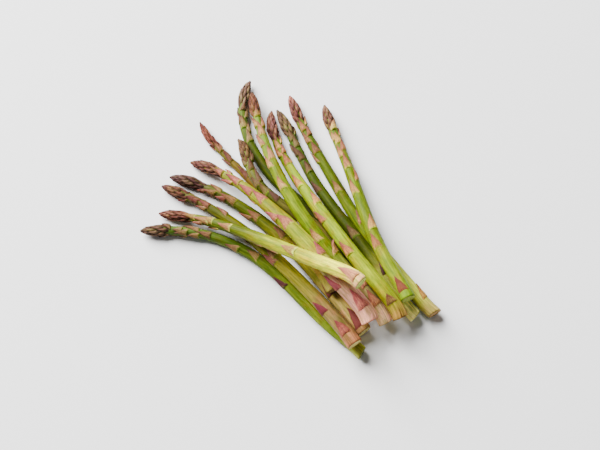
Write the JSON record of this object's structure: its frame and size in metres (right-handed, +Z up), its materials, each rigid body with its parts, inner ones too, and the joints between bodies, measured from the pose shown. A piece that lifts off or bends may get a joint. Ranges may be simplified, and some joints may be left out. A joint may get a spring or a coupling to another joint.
{
  "type": "bundle of asparagus",
  "caption": "Loose, fanned bunch of cut green asparagus spears with purple-tinged scale leaves and pointed bud tips, lying in a low pile.",
  "frame": {"origin": "on the resting surface, under the middle of the bunch's footprint", "axes": "+Y from the cut ends to the bud tips, +Z up from the resting surface, +X to the right seen from the cut ends"},
  "size_m": [0.1842, 0.2486, 0.0585],
  "materials": {
    "bright_skin": "satin",
    "deep_skin": "satin",
    "olive_skin": "satin",
    "rosy_skin": "satin",
    "pale_skin": "satin"
  },
  "bodies": {
    "root": {"spear_01": "olive_skin", "spear_02": "deep_skin", "spear_03": "deep_skin", "spear_04": "olive_skin", "spear_05": "deep_skin", "spear_06": "rosy_skin", "spear_07": "olive_skin", "spear_08": "bright_skin", "spear_09": "bright_skin", "spear_10": "olive_skin", "spear_11": "bright_skin", "spear_12": "bright_skin", "spear_13": "pale_skin"}
  },
  "joints": []
}
